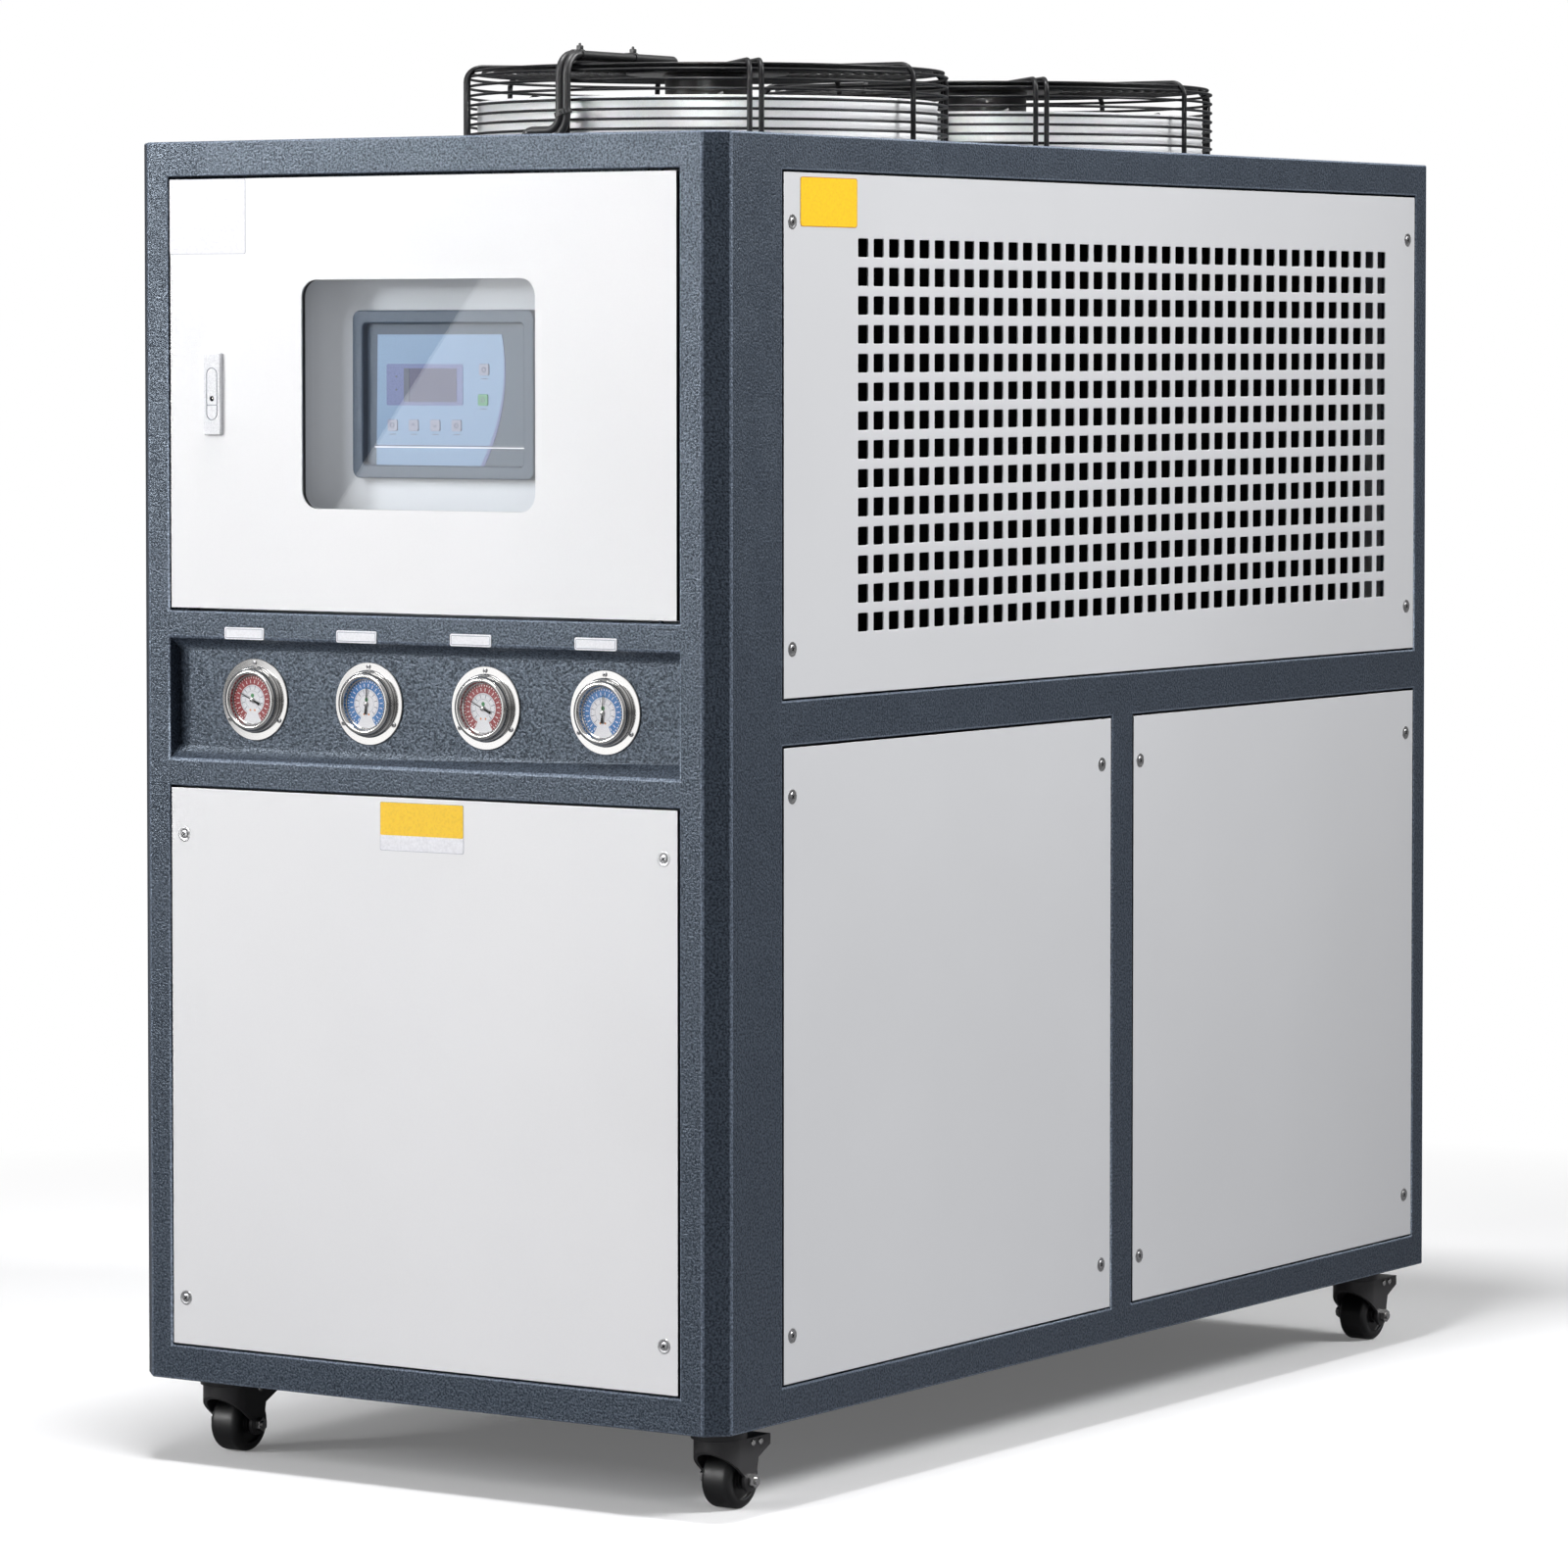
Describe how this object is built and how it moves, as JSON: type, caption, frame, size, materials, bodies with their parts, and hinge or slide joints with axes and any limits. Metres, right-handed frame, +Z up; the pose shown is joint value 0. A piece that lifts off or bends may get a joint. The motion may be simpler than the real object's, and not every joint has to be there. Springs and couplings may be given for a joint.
{
  "type": "air cooled water chiller",
  "caption": "Framed cabinet chiller on swivel casters, with perforated air inlet sides, guarded top fans, a windowed control door and a recessed gauge band.",
  "frame": {"origin": "on the floor, under the middle of the cabinet", "axes": "+X to the right seen from the front, +Y from the front to the rear, +Z up"},
  "size_m": [0.772, 1.582, 1.5439],
  "materials": {
    "frame_paint": "textured powder coat",
    "panel_white": "smooth powder coat",
    "panel_grey": "smooth powder coat",
    "coil_fins": "finned, dark behind the grille",
    "inner_black": "matt",
    "inner_grey": "satin",
    "bezel_grey": "fine matt",
    "keypad_blue": "printed membrane",
    "gauge_steel": "polished",
    "dial_white": "printed dial",
    "clear_lens": "clear",
    "shroud_zinc": "pale",
    "wire_black": "satin black",
    "motor_black": "satin black",
    "cable_black": "sheathed",
    "seal_black": "matt",
    "window_glass": "clear",
    "latch_white": "enamelled",
    "caster_zinc": "black plated",
    "port_brass": "machined",
    "fork_black": "black plated",
    "wheel_black": "solid nylon rubber"
  },
  "bodies": {
    "cabinet": {"front_post_left": "frame_paint", "front_post_right": "frame_paint", "rear_post_left": "frame_paint", "rear_post_right": "frame_paint", "base_frame": "frame_paint", "top_cover": "frame_paint", "gauge_panel": "frame_paint", "right_rails": "frame_paint", "left_rails": "frame_paint", "rear_rail": "frame_paint", "front_lower_panel": "panel_white", "right_lower_panel_front": "panel_grey", "right_lower_panel_rear": "panel_grey", "left_lower_panel_front": "panel_grey", "left_lower_panel_rear": "panel_grey", "rear_upper_panel": "panel_grey", "rear_lower_panel": "panel_grey", "right_grille": "panel_grey", "left_grille": "panel_grey", "condenser_coils": "coil_fins", "machine_compartment": "inner_black", "control_box": "inner_grey", "controller_bezel": "bezel_grey", "controller_face": "keypad_blue", "gauge_cases": "gauge_steel", "gauge_dials": "dial_white", "gauge_lenses": "clear_lens", "fan_shrouds": "shroud_zinc", "fan_guard_front": "wire_black", "fan_guard_rear": "wire_black", "fan_motors": "motor_black", "fan_cable": "cable_black", "caster_plates": "caster_zinc", "water_ports": "port_brass"},
    "control_door": {"door_panel": "panel_white", "window_seal": "seal_black", "door_window": "window_glass", "door_latch": "latch_white"},
    "fan_rotor_front": {"fan_rotor_front": "motor_black"},
    "fan_rotor_rear": {"fan_rotor_rear": "motor_black"},
    "caster_fork_fl": {"caster_fork_fl": "fork_black"},
    "caster_wheel_fl": {"caster_wheel_fl": "wheel_black"},
    "caster_fork_fr": {"caster_fork_fr": "fork_black"},
    "caster_wheel_fr": {"caster_wheel_fr": "wheel_black"},
    "caster_fork_rl": {"caster_fork_rl": "fork_black"},
    "caster_wheel_rl": {"caster_wheel_rl": "wheel_black"},
    "caster_fork_rr": {"caster_fork_rr": "fork_black"},
    "caster_wheel_rr": {"caster_wheel_rr": "wheel_black"}
  },
  "joints": [
    {"name": "door_swing", "type": "hinge", "parent": "cabinet", "child": "control_door", "pos_m": [0.3085, -0.779, 1.168], "axis": [0, 0, 1], "range_deg": [0, 110]},
    {"name": "fan_front_spin", "type": "hinge", "parent": "cabinet", "child": "fan_rotor_front", "pos_m": [0, -0.236, 1.466], "axis": [0, 0, 1], "continuous": true},
    {"name": "fan_rear_spin", "type": "hinge", "parent": "cabinet", "child": "fan_rotor_rear", "pos_m": [0, 0.364, 1.466], "axis": [0, 0, 1], "continuous": true},
    {"name": "caster_swivel_fl", "type": "hinge", "parent": "cabinet", "child": "caster_fork_fl", "pos_m": [-0.327, -0.7, 0.07], "axis": [0, 0, 1], "continuous": true},
    {"name": "caster_roll_fl", "type": "hinge", "parent": "caster_fork_fl", "child": "caster_wheel_fl", "pos_m": [-0.327, -0.68, 0.031], "axis": [1, 0, 0], "continuous": true},
    {"name": "caster_swivel_fr", "type": "hinge", "parent": "cabinet", "child": "caster_fork_fr", "pos_m": [0.327, -0.7, 0.07], "axis": [0, 0, 1], "continuous": true},
    {"name": "caster_roll_fr", "type": "hinge", "parent": "caster_fork_fr", "child": "caster_wheel_fr", "pos_m": [0.327, -0.68, 0.031], "axis": [1, 0, 0], "continuous": true},
    {"name": "caster_swivel_rl", "type": "hinge", "parent": "cabinet", "child": "caster_fork_rl", "pos_m": [-0.327, 0.7, 0.07], "axis": [0, 0, 1], "continuous": true},
    {"name": "caster_roll_rl", "type": "hinge", "parent": "caster_fork_rl", "child": "caster_wheel_rl", "pos_m": [-0.327, 0.72, 0.031], "axis": [1, 0, 0], "continuous": true},
    {"name": "caster_swivel_rr", "type": "hinge", "parent": "cabinet", "child": "caster_fork_rr", "pos_m": [0.327, 0.7, 0.07], "axis": [0, 0, 1], "continuous": true},
    {"name": "caster_roll_rr", "type": "hinge", "parent": "caster_fork_rr", "child": "caster_wheel_rr", "pos_m": [0.327, 0.72, 0.031], "axis": [1, 0, 0], "continuous": true}
  ]
}
